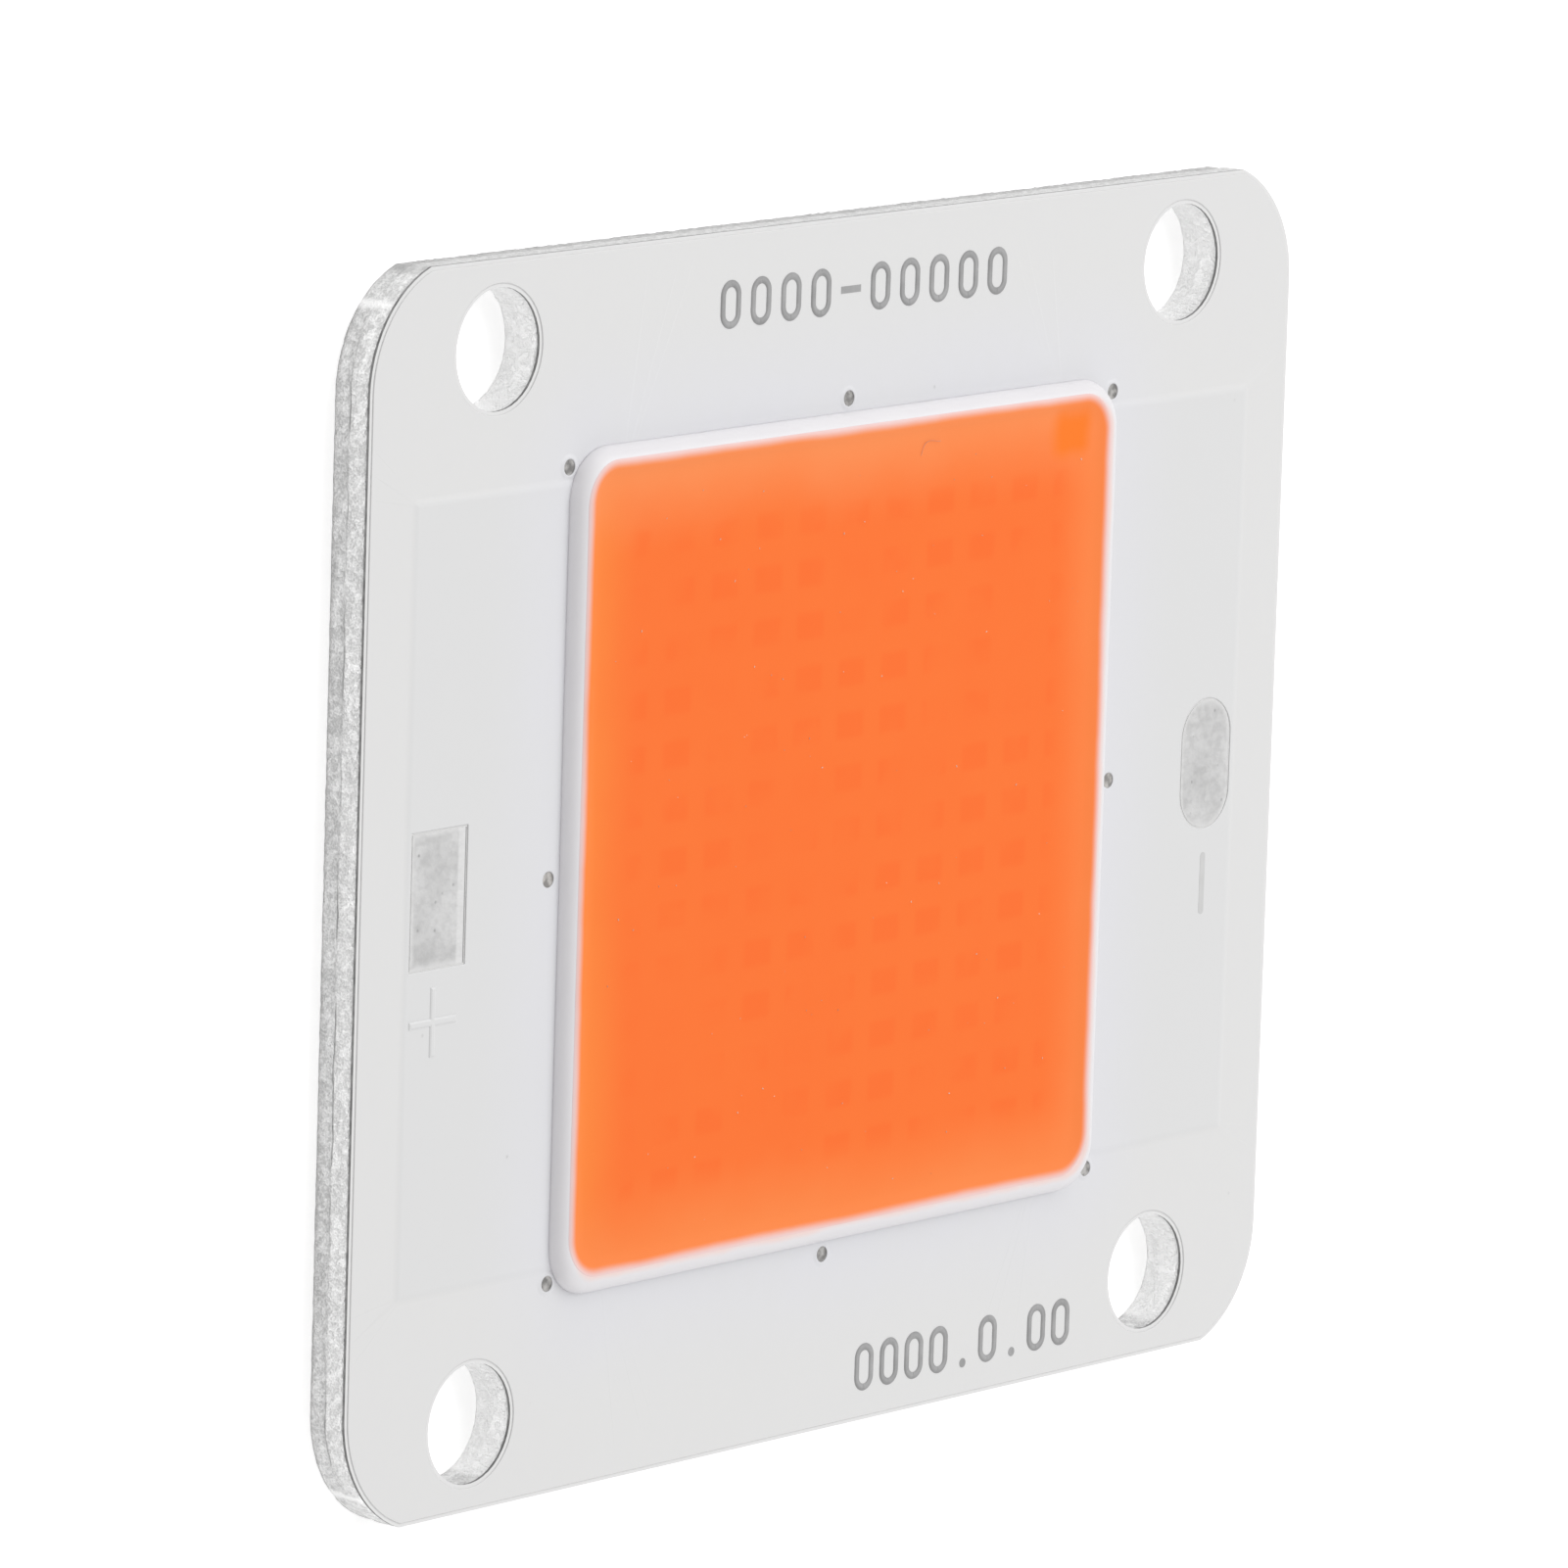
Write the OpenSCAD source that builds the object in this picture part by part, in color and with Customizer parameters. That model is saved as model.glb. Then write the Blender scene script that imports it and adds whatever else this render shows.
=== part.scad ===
// Chip-on-board LED module on a punched aluminium-core board.
// The board lies on its back: the origin is at the centre of the back face, +X runs along
// the long side from the positive to the negative pad, and light leaves along +Z.

/* [Board] */
// Length of the board along X
board_l = 46; // [42:0.5:56]
// Width of the board along Y, between the two sheared edges
board_w = 40; // [37:0.5:50]
// Thickness of the aluminium core
core_t = 1.4; // [1:0.1:3]
// Radius of the punched corner arcs
corner_r = 4.1; // [3:0.1:5]
// How far the corner arcs would crown past the sheared edges
corner_over = 0.25; // [0:0.05:0.5]
// Height of the fractured band that punching leaves on the rim, from the back face
fracture_h = 0.75; // [0.3:0.05:0.9]
// How far the fractured band lies inside the burnished band
fracture_in = 0.04; // [0.01:0.01:0.1]

/* [Mounting holes] */
// Hole diameter
hole_d = 3.92; // [2.5:0.02:4.2]
// Distance from a short edge of the board to the middle of a hole
hole_edge_x = 5.9; // [2.6:0.05:7]
// Distance from a long edge of the board to the middle of a hole
hole_edge_y = 2.85; // [2.6:0.05:3.4]

/* [Laminate, copper and mask] */
// Thickness of the insulating laminate
laminate_t = 0.1; // [0.06:0.01:0.2]
// Thickness of the copper
copper_t = 0.035; // [0.02:0.005:0.07]
// Thickness of the white solder mask
mask_t = 0.03; // [0.015:0.005:0.05]
// Margin between the mask and the rim of the board or of a hole
mask_edge = 0.12; // [0.05:0.01:0.3]
// Gap along X between the end chips and the laminate window that bares the core
window_gap_x = 0.605; // [0.3:0.005:1]
// Gap along Y between the outer rows and the laminate window
window_gap_y = 0.65; // [0.3:0.01:1]
// Corner radius of the windows in the laminate and the mask
window_r = 0.6; // [0.2:0.1:1]
// Margin between the laminate window and the copper
copper_edge = 0.15; // [0.1:0.05:0.25]
// Bare strip of each bus inside the mask window, where the wires land
bond_strip = 1.0; // [0.5:0.05:1.5]
// Margin between the laminate window and the mask along the two sides with no bus
mask_lip = 0.3; // [0.1:0.05:0.6]
// Margin between each bus and the short edge of the board
bus_edge = 2.2; // [0.5:0.05:3]
// How far each end of a bus lies inside the dam's centre line
bus_in = 0.425; // [0.4:0.005:1.5]

/* [Pads] */
// Length of a solder pad along X
pad_l = 2.64; // [1.5:0.02:3]
// Width of a solder pad along Y
pad_w = 4.45; // [3.2:0.05:8]
// Margin between a pad and the outer edge of its bus
pad_edge = 0.18; // [0.1:0.01:0.5]
// Thickness of the tin on the pads
tin_t = 0.02; // [0.01:0.005:0.05]
// Gap between the tin and the mask
tin_gap = 0.06; // [0.02:0.01:0.12]

/* [Alignment marks] */
// Diameter of the round mask opening at a mark
mark_d = 0.52; // [0.4:0.02:0.6]
// How far the copper disc under a mark reaches beneath the mask round its opening
mark_rim = 0.06; // [0.02:0.01:0.1]
// How far the middle of a corner mark lies outside the dam's foot along X
mark_corner_out = 0.045; // [0:0.005:0.8]
// How far the middle of a corner mark lies inside the dam's foot along Y
mark_corner_in = 0.53; // [0.4:0.01:0.55]
// How far the marks on the buses lie outside the dam's foot
mark_side_out_x = 0.525; // [0.4:0.005:1.5]
// How far the marks on the two long sides lie outside the dam's foot
mark_side_out_y = 0.45; // [0.4:0.01:1.5]

/* [Dam and fill] */
// Mask left between a bonding strip and the dam's foot
dam_gap_x = 0.425; // [0.2:0.005:1.5]
// Mask left between its window and the dam's foot along the two sides with no bus
dam_gap_y = 1.6; // [0.2:0.05:2]
// Corner radius of the dam's centre line
dam_r = 1.1; // [1:0.05:2]
// Width of the dam's bead at its foot
bead_w = 1.15; // [0.9:0.05:1.6]
// Height of the dam's bead above the mask
bead_h = 0.55; // [0.4:0.01:0.62]
// How far the fill's flat surface lies below the crest of the dam
fill_drop = 0.09; // [0.04:0.01:0.15]
// How far inside the crest of the dam the fill ends
fill_in = 0.12; // [0.05:0.01:0.15]
// Width of the band in which the fill climbs the dam
climb_w = 0.8; // [0.3:0.05:0.85]

/* [Chips and wires] */
// Chips in series in each row
chip_columns = 10; // [4:1:10]
// Parallel rows
chip_rows = 12; // [6:1:12]
// Chip spacing along a row
chip_pitch_x = 2.15; // [1.8:0.01:2.4]
// Spacing of the rows
chip_pitch_y = 1.74; // [1.3:0.01:1.9]
// Length of a chip along X
chip_l = 1.14; // [0.9:0.02:1.5]
// Width of a chip along Y
chip_w = 0.76; // [0.5:0.02:1.1]
// Thickness of a chip
chip_t = 0.12; // [0.08:0.01:0.2]
// Thickness of the die attach under a chip
attach_t = 0.015; // [0.005:0.005:0.03]
// How far the die attach shows round a chip
attach_rim = 0.04; // [0.02:0.01:0.08]
// Distance from a chip's end to the middle of its bond pad
bond_in = 0.14; // [0.1:0.01:0.2]
// Diameter of the bond wire
wire_d = 0.03; // [0.02:0.005:0.04]
// Height of a wire's loop above its two ends
loop_h = 0.18; // [0.1:0.01:0.24]
// Diameter of the ball at each end of a wire
ball_d = 0.09; // [0.08:0.01:0.12]
// Height of the ball at each end of a wire
ball_h = 0.036; // [0.036:0.002:0.05]

/* [Hidden] */
$fn = 48;
row_ids = [for (i = [1 : chip_rows]) i];

laminate_z = core_t;
copper_z = laminate_z + laminate_t;
bus_top = copper_z + copper_t;
mask_high = bus_top + mask_t;
chip_z = core_t + attach_t;
chip_top = chip_z + chip_t;
array_l = (chip_columns - 1) * chip_pitch_x + chip_l;
array_w = (chip_rows - 1) * chip_pitch_y + chip_w;
window_l = array_l + 2 * window_gap_x;
window_w = array_w + 2 * window_gap_y;
bus_inner = window_l / 2 + copper_edge;
bus_reach = board_l / 2 - bus_edge;
pad_x = bus_reach - pad_edge - pad_l / 2;
mask_window_l = 2 * (bus_inner + bond_strip);
mask_window_w = window_w + 2 * mask_lip;
dam_l = mask_window_l + 2 * dam_gap_x + bead_w;
dam_w = mask_window_w + 2 * dam_gap_y + bead_w;
bus_w = dam_w - 2 * bus_in;
foot_x = (dam_l + bead_w) / 2;
foot_y = (dam_w + bead_w) / 2;
mark_copper_d = mark_d + 2 * mark_rim;
fill_h = bead_h - fill_drop;
bead_r = (pow(bead_w / 2, 2) + pow(bead_h, 2)) / (2 * bead_h);
climb_top = bead_h - bead_r + sqrt(pow(bead_r, 2) - pow(fill_in, 2));
CLIMB_STEPS = 4;
CUT = 1;

// Plan shapes -------------------------------------------------------------------------------

module rounded_rect(l, w, r) {
    square([l - 2 * r, w], center = true);
    square([l, w - 2 * r], center = true);
    for (sx = [-1, 1], sy = [-1, 1]) {
        translate([sx * (l / 2 - r), sy * (w / 2 - r)]) circle(r = r);
    }
}

// The corner arcs run into the long sides at a slight angle, because the strip is sheared there.
module board_outline(inset = 0) {
    intersection() {
        square([board_l - 2 * inset, board_w - 2 * inset], center = true);
        rounded_rect(
            board_l - 2 * inset,
            board_w + 2 * corner_over - 2 * inset,
            corner_r - inset
        );
    }
}

module at_holes() {
    for (sx = [-1, 1], sy = [-1, 1]) {
        translate([sx * (board_l / 2 - hole_edge_x), sy * (board_w / 2 - hole_edge_y)]) children();
    }
}

module board_sheet(inset = 0) {
    difference() {
        board_outline(inset);
        at_holes() circle(d = hole_d + 2 * inset);
    }
}

module laminate_window() {
    rounded_rect(window_l, window_w, window_r);
}

module mask_window() {
    rounded_rect(mask_window_l, mask_window_w, window_r);
}

// The positive bus lies at -X and the negative bus at +X.
module bus_plan(side, grow = 0) {
    translate([side * (bus_inner + bus_reach) / 2, 0])
        square([bus_reach - bus_inner + 2 * grow, bus_w + 2 * grow], center = true);
}

module at_corner_marks() {
    for (sx = [-1, 1], sy = [-1, 1]) {
        translate([sx * (foot_x + mark_corner_out), sy * (foot_y - mark_corner_in)]) children();
    }
}

module at_free_marks() {
    at_corner_marks() children();
    for (sy = [-1, 1]) {
        translate([0, sy * (foot_y + mark_side_out_y)]) children();
    }
}

module at_bus_marks() {
    for (sx = [-1, 1]) {
        translate([sx * (foot_x + mark_side_out_x), 0]) children();
    }
}

module positive_pad_plan(inset = 0) {
    translate([-pad_x, 0]) square([pad_l - 2 * inset, pad_w - 2 * inset], center = true);
}

module negative_pad_plan(inset = 0) {
    translate([pad_x, 0]) rounded_rect(pad_l - 2 * inset, pad_w - 2 * inset, pad_l / 2 - inset - 0.01);
}

module layer(z, t) {
    translate([0, 0, z]) linear_extrude(t) children();
}

// Board -------------------------------------------------------------------------------------

module base_plate() {
    color("silver") difference() {
        union() {
            linear_extrude(fracture_h) board_outline(fracture_in);
            layer(fracture_h, core_t - fracture_h) board_outline();
        }
        layer(-CUT, core_t + 2 * CUT) at_holes() circle(d = hole_d);
    }
}

module insulating_laminate() {
    color("darkkhaki") layer(laminate_z, laminate_t) difference() {
        board_sheet();
        laminate_window();
    }
}

module positive_bus() {
    color("goldenrod") layer(copper_z, copper_t) bus_plan(-1);
}

module negative_bus() {
    color("goldenrod") layer(copper_z, copper_t) bus_plan(1);
}

module alignment_marks() {
    color("dimgray") layer(copper_z, copper_t) at_free_marks() circle(d = mark_copper_d);
}

module positive_pad_tin() {
    color("lightgray") layer(bus_top, tin_t) positive_pad_plan(tin_gap);
}

module negative_pad_tin() {
    color("lightgray") layer(bus_top, tin_t) negative_pad_plan(tin_gap);
}

// The mask is laid over the copper, so it stands higher there by the copper's thickness.
module solder_mask() {
    color("white") difference() {
        union() {
            layer(copper_z, mask_t) board_sheet(mask_edge);
            layer(copper_z, copper_t + mask_t) {
                bus_plan(-1, mask_t);
                bus_plan(1, mask_t);
                at_free_marks() circle(d = mark_copper_d + 2 * mask_t);
            }
        }
        positive_bus();
        negative_bus();
        alignment_marks();
        layer(copper_z - CUT, copper_t + mask_t + 2 * CUT) {
            mask_window();
            positive_pad_plan();
            negative_pad_plan();
            at_free_marks() circle(d = mark_d);
            at_bus_marks() circle(d = mark_d);
        }
    }
}

// Dam and fill ------------------------------------------------------------------------------

// Sweeps a profile round a rounded rectangle. The profile's X points outwards and its Y up.
module round_the_dam() {
    for (i = [0 : 3]) {
        along_y = i % 2 == 0;
        half_out = (along_y ? dam_l : dam_w) / 2;
        half_run = (along_y ? dam_w : dam_l) / 2 - dam_r;
        rotate(90 * i) {
            translate([half_out, half_run, 0]) rotate([90, 0, 0]) linear_extrude(2 * half_run) children();
            translate([half_out - dam_r, half_run, 0])
                rotate_extrude(angle = 90) translate([dam_r, 0]) children();
        }
    }
}

// A silicone bead with a round back. Its skirt reaches down to the mask beside the buses.
module bead_profile() {
    intersection() {
        translate([0, bead_h - bead_r]) circle(r = bead_r);
        translate([-bead_w / 2, 0]) square([bead_w, bead_h]);
    }
    translate([-bead_w / 2, -copper_t]) square([bead_w, copper_t]);
}

module dam_bead() {
    translate([0, 0, mask_high]) round_the_dam() bead_profile();
}

module dam() {
    color("whitesmoke") difference() {
        dam_bead();
        solder_mask();
        positive_bus();
        negative_bus();
    }
}

// The surface of the fill climbs towards the dam in a hollow curve.
module climb_profile() {
    rise = climb_top - fill_h;
    shares = [for (i = [0 : CLIMB_STEPS]) i / CLIMB_STEPS];
    polygon(concat(
        [for (t = shares) [-fill_in - climb_w * (1 - t), rise * t * t]],
        [[-fill_in, -fill_h / 2], [-fill_in - climb_w, -fill_h / 2]]
    ));
}

module phosphor_fill() {
    color("orangered") difference() {
        union() {
            layer(core_t, mask_high + fill_h - core_t)
                rounded_rect(dam_l - 2 * fill_in, dam_w - 2 * fill_in, dam_r - fill_in);
            translate([0, 0, mask_high + fill_h]) round_the_dam() climb_profile();
        }
        insulating_laminate();
        positive_bus();
        negative_bus();
        solder_mask();
        dam_bead();
        for (i = row_ids) {
            die_attach_row(i);
            chip_row(i);
            bond_wire_row(i);
        }
    }
}

// Chips and wires ---------------------------------------------------------------------------

function chip_x(column) = (column - (chip_columns + 1) / 2) * chip_pitch_x;
function row_y(row) = (row - (chip_rows + 1) / 2) * chip_pitch_y;

module chip_block(row, z, t, grow) {
    for (column = [1 : chip_columns]) {
        translate([chip_x(column), row_y(row), z + t / 2])
            cube([chip_l + 2 * grow, chip_w + 2 * grow, t], center = true);
    }
}

module die_attach_row(row) {
    color("gainsboro") chip_block(row, core_t, attach_t, attach_rim);
}

module chip_row(row) {
    color("lightskyblue") chip_block(row, chip_z, chip_t, 0);
}

// A wire is an arc between two flattened balls. Its ends may lie at different heights.
module bond_wire(x1, z1, x2, z2) {
    span = norm([x2 - x1, z2 - z1]);
    tilt = atan2(z2 - z1, x2 - x1);
    arc_r = (pow(span / 2, 2) + pow(loop_h, 2)) / (2 * loop_h);
    half_angle = asin(span / 2 / arc_r);
    translate([x1, 0, z1]) cylinder(d = ball_d, h = ball_h);
    translate([x2, 0, z2]) cylinder(d = ball_d, h = ball_h);
    translate([x1, 0, z1 + ball_h / 2]) rotate([0, -tilt, 0]) translate([span / 2, 0, loop_h - arc_r])
        rotate([90, 0, 0]) rotate([0, 0, 90 - half_angle])
            rotate_extrude(angle = 2 * half_angle) translate([arc_r, 0]) circle(d = wire_d);
}

// One wire from the positive bus, one between each pair of chips, one to the negative bus.
module bond_wire_row(row) {
    reach = chip_l / 2 - bond_in;
    landing = bus_inner + bond_strip / 2;
    color("gold") translate([0, row_y(row), 0]) {
        bond_wire(-landing, bus_top, chip_x(1) - reach, chip_top);
        for (column = [1 : chip_columns - 1]) {
            bond_wire(chip_x(column) + reach, chip_top, chip_x(column + 1) - reach, chip_top);
        }
        bond_wire(chip_x(chip_columns) + reach, chip_top, landing, bus_top);
    }
}

// Nodes -------------------------------------------------------------------------------------

base_plate();
insulating_laminate();
positive_bus();
negative_bus();
alignment_marks();
positive_pad_tin();
negative_pad_tin();
solder_mask();
dam();
phosphor_fill();
for (i = row_ids) {
    die_attach_row(i);
    chip_row(i);
    bond_wire_row(i);
}
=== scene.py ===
import math

import bmesh
import bpy
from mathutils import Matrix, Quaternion, Vector, geometry, noise


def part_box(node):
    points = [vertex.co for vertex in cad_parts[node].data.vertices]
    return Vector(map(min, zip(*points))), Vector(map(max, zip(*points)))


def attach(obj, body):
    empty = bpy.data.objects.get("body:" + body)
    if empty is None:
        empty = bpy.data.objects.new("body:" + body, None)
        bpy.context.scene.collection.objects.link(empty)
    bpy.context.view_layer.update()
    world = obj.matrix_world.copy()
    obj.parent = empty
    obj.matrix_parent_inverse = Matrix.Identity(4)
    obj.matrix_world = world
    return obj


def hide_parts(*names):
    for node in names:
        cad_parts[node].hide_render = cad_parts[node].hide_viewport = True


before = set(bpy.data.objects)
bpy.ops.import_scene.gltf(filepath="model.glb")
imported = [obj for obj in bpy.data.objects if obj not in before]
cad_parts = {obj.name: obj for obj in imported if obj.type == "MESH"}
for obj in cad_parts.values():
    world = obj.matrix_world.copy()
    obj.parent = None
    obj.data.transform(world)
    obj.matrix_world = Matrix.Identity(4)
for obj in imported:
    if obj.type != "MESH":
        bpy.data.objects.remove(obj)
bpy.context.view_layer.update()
mm = 0.001
print("frame loaded:", len(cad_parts), "nodes")


# Places that several pieces share, read from the frame.

boardLow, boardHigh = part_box("base_plate")
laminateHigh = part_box("insulating_laminate")[1]
maskLow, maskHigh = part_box("solder_mask")
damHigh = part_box("dam")[1]
fillLow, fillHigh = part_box("phosphor_fill")
faceHeight = maskHigh.z                   # top of the white mask over the copper
sheetHeight = laminateHigh.z + 0.03 * mm  # top of the white mask beside the copper


# Node outputs that take plain arithmetic: each operation adds its Math node.

class Field:
    def __init__(self, socket):
        self.socket, self.tree = socket, socket.id_data

    def __add__(self, other):
        return calc("ADD", self, other)

    def __sub__(self, other):
        return calc("SUBTRACT", self, other)

    def __rsub__(self, other):
        return calc("SUBTRACT", other, self)

    def __mul__(self, other):
        return calc("MULTIPLY", self, other)

    def __truediv__(self, other):
        return calc("DIVIDE", self, other)

    def __abs__(self):
        return calc("ABSOLUTE", self)

    __radd__ = __add__


def setInput(socket, value):
    if isinstance(value, Field):
        value.tree.links.new(value.socket, socket)
    else:
        socket.default_value = value


def addNode(tree, kind, inputs=None, **settings):
    node = tree.nodes.new(kind)
    for name, value in settings.items():
        setattr(node, name, value)
    for name, value in (inputs or {}).items():
        setInput(node.inputs[name], value)
    return node


def take(tree, kind, inputs=None, output=0, **settings):
    return Field(addNode(tree, kind, inputs, **settings).outputs[output])


def fields(node):
    return {socket.name: Field(socket) for socket in node.outputs if socket.name}


def calc(operation, first, second=0.0):
    tree = (first if isinstance(first, Field) else second).tree
    return take(tree, "ShaderNodeMath", {0: first, 1: second}, operation=operation)


def ramp(value, low, high, toLow=0.0, toHigh=1.0, kind="SMOOTHSTEP"):
    inputs = {"Value": value, "From Min": low, "From Max": high, "To Min": toLow, "To Max": toHigh}
    return take(value.tree, "ShaderNodeMapRange", inputs, interpolation_type=kind)


def between(share, low, high):
    return ramp(share, 0, 1, low, high)


def mix(share, first, second):
    return take(share.tree, "ShaderNodeMix", {0: share, 6: first, 7: second}, output=2, data_type="RGBA")


def split(vector):
    return [Field(socket) for socket in addNode(vector.tree, "ShaderNodeSeparateXYZ", {0: vector}).outputs]


def combine(tree, x=0.0, y=0.0, z=0.0):
    return take(tree, "ShaderNodeCombineXYZ", {"X": x, "Y": y, "Z": z})


def stretched(vector, scale):
    return take(vector.tree, "ShaderNodeMapping", {"Vector": vector, "Scale": scale})


def centredOn(vector, x, y):
    return take(vector.tree, "ShaderNodeMapping", {"Vector": vector, "Location": (-x, -y, 0)})


def grey(level):
    return (level, level, level, 1)


def newGroup(name, kind, special, values, outputs, outputKind="NodeSocketFloat"):
    # The special input is a vector or a material. The others are whole numbers or plain ones.
    tree = bpy.data.node_groups.new(name, kind)
    tree.interface.new_socket(special, in_out="INPUT", socket_type="NodeSocket" + special)
    for label, value in values.items():
        socketKind = "NodeSocketInt" if isinstance(value, int) else "NodeSocketFloat"
        tree.interface.new_socket(label, in_out="INPUT", socket_type=socketKind).default_value = value
    for label in outputs:
        tree.interface.new_socket(label, in_out="OUTPUT", socket_type=outputKind)
    source, sink = tree.nodes.new("NodeGroupInput"), tree.nodes.new("NodeGroupOutput")
    return tree, fields(source), sink.inputs


# Helpers for meshes and for pieces that Geometry Nodes make.

def linkObject(name, mesh):
    piece = bpy.data.objects.new(name, mesh)
    bpy.context.scene.collection.objects.link(piece)
    return piece


def meshPiece(name, vertices, faces):
    mesh = bpy.data.meshes.new(name)
    mesh.from_pydata(vertices, [], faces)
    mesh.update()
    return linkObject(name, mesh)


def evaluatedMesh(piece):
    depsgraph = bpy.context.evaluated_depsgraph_get()
    return bpy.data.meshes.new_from_object(piece.evaluated_get(depsgraph))


def ringFaces(first, count, rings):
    # The quads between rings of equal count, stored one after the other.
    faces = []
    for row in range(rings - 1):
        for i in range(count):
            a, b = first + row * count + i, first + row * count + (i + 1) % count
            faces.append((a, b, b + count, a + count))
    return faces


def facesOut(piece):
    mesh = bmesh.new()
    mesh.from_mesh(piece.data)
    bmesh.ops.recalc_face_normals(mesh, faces=mesh.faces)
    mesh.to_mesh(piece.data)
    mesh.free()


def newGrowth(name, values):
    return newGroup(name, "GeometryNodeTree", "Material", values, ["Geometry"], "NodeSocketGeometry")


def grown(tree, kind, inputs=None, **settings):
    return take(tree, "GeometryNode" + kind, inputs, **settings)


def endGrowth(tree, given, sink, shape):
    real = grown(tree, "RealizeInstances", {"Geometry": shape})
    skinned = grown(tree, "SetMaterial", {"Geometry": real, "Material": given["Material"]})
    setInput(sink["Geometry"], skinned)
    return tree


def growPiece(name, tree, values):
    seed = linkObject(name + "Seed", bpy.data.meshes.new(name + "Seed"))
    modifier = seed.modifiers.new("grow", "NODES")
    modifier.node_group = tree
    for item in tree.interface.items_tree:
        if item.in_out == "INPUT":
            modifier[item.identifier] = values[item.name]
    mesh = evaluatedMesh(seed)
    bpy.data.objects.remove(seed)
    piece = linkObject(name, mesh)
    facesOut(piece)
    return piece


# Camera, floor and light.

cameraView = {
    "target": (-2.68 * mm, 1.89 * mm, boardHigh.z),
    "distance": 400.4 * mm,
    "azimuth": math.radians(167.21),
    "elevation": math.radians(39.3),
    "roll": math.radians(99.96),
    "lens": 285.07,
    "shift": (0.0025, -0.0026),
    "clip": (0.01, 10),
}


def placeCamera(view):
    azimuth, elevation = view["azimuth"], view["elevation"]
    flat = math.cos(elevation)
    back = Vector((flat * math.cos(azimuth), flat * math.sin(azimuth), math.sin(elevation)))
    data = bpy.data.cameras.new("portraitCamera")
    data.lens = view["lens"]
    data.shift_x, data.shift_y = view["shift"]
    data.clip_start, data.clip_end = view["clip"]
    camera = linkObject("portraitCamera", data)
    camera.location = Vector(view["target"]) + back * view["distance"]
    camera.rotation_mode = "QUATERNION"
    camera.rotation_quaternion = back.to_track_quat("Z", "Y") @ Quaternion((0, 0, 1), view["roll"])
    bpy.context.scene.camera = camera


studio = {
    "floorSize": 3.0,
    "floorGap": 0.01 * mm,
    "floorColour": 0.86,
    "floorLift": 0.47,
    "worldStrength": 0.665,
    "worldColour": (0.995, 0.99, 0.985, 1),
    "lamps": {
        # name: place, size, power
        "highSoftbox": ((0.42, 0.30, 0.62), 0.55, 2.5),
        "sideSoftbox": ((0.10, 0.62, 0.30), 0.45, 0.8),
        "lowSoftbox": ((0.16, -0.60, 0.26), 0.45, 0.9),
    },
}


def layFloor(settings):
    half, low = settings["floorSize"] / 2, boardLow.z - settings["floorGap"]
    corners = [(-half, -half, low), (half, -half, low), (half, half, low), (-half, half, low)]
    floor = meshPiece("floor", corners, [(0, 1, 2, 3)])
    material = bpy.data.materials.new("paleFloor")
    material.use_nodes = True
    tree = material.node_tree
    tree.nodes.clear()
    paper = take(tree, "ShaderNodeBsdfDiffuse", {"Color": grey(settings["floorColour"])})
    path = fields(addNode(tree, "ShaderNodeLightPath"))
    seen = calc("MAXIMUM", path["Is Camera Ray"], path["Is Glossy Ray"])
    seen = calc("MAXIMUM", seen, path["Is Transmission Ray"])
    glow = take(tree, "ShaderNodeEmission", {"Color": grey(1), "Strength": seen * settings["floorLift"]})
    shade = take(tree, "ShaderNodeAddShader", {0: paper, 1: glow})
    addNode(tree, "ShaderNodeOutputMaterial", {"Surface": shade})
    floor.data.materials.append(material)


def lightStudio(settings):
    world = bpy.data.worlds.new("softRoom")
    world.use_nodes = True
    tree = world.node_tree
    tree.nodes.clear()
    seen = take(tree, "ShaderNodeLightPath", output="Is Camera Ray")
    strength = ramp(seen, 0, 1, settings["worldStrength"], 1.0, "LINEAR")
    glow = take(tree, "ShaderNodeBackground", {"Color": settings["worldColour"], "Strength": strength})
    addNode(tree, "ShaderNodeOutputWorld", {"Surface": glow})
    bpy.context.scene.world = world
    for name, (place, size, power) in settings["lamps"].items():
        data = bpy.data.lights.new(name, "AREA")
        data.size = size
        data.energy = power
        lamp = linkObject(name, data)
        lamp.location = place
        lamp.rotation_mode = "QUATERNION"
        lamp.rotation_quaternion = Vector(place).to_track_quat("Z", "Y")


placeCamera(cameraView)
layFloor(studio)
lightStudio(studio)
bpy.context.scene.view_settings.view_transform = "Standard"
print("camera, floor and light are set")


# Effects that several finishes share.

def makeMottle():
    values = {"Scale": 1000.0, "Detail": 3.0, "Spread": 0.15}
    tree, given, sink = newGroup("mottle", "ShaderNodeTree", "Vector", values, ["Mask"])
    inputs = {label: given[label] for label in ("Vector", "Scale", "Detail")}
    cloud = take(tree, "ShaderNodeTexNoise", inputs)
    setInput(sink["Mask"], ramp(cloud, 0.5 - given["Spread"], given["Spread"] + 0.5))
    return tree


def makeInset():
    values = {"Half Length": 0.013, "Half Width": 0.013, "Corner": 0.001}
    labels = ["Inset", "From Left", "From Right", "From Bottom", "From Top"]
    tree, given, sink = newGroup("insetFromEdge", "ShaderNodeTree", "Vector", values, labels)
    across, along, _ = split(given["Vector"])
    halfLength, halfWidth, corner = given["Half Length"], given["Half Width"], given["Corner"]
    overX, overY = abs(across) - halfLength + corner, abs(along) - halfWidth + corner
    outX, outY = calc("MAXIMUM", overX), calc("MAXIMUM", overY)
    outside = calc("SQRT", outX * outX + outY * outY)
    inside = calc("MINIMUM", calc("MAXIMUM", overX, overY))
    setInput(sink["Inset"], corner - (outside + inside))
    setInput(sink["From Left"], halfLength + across)
    setInput(sink["From Right"], halfLength - across)
    setInput(sink["From Bottom"], halfWidth + along)
    setInput(sink["From Top"], halfWidth - along)
    return tree


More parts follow.
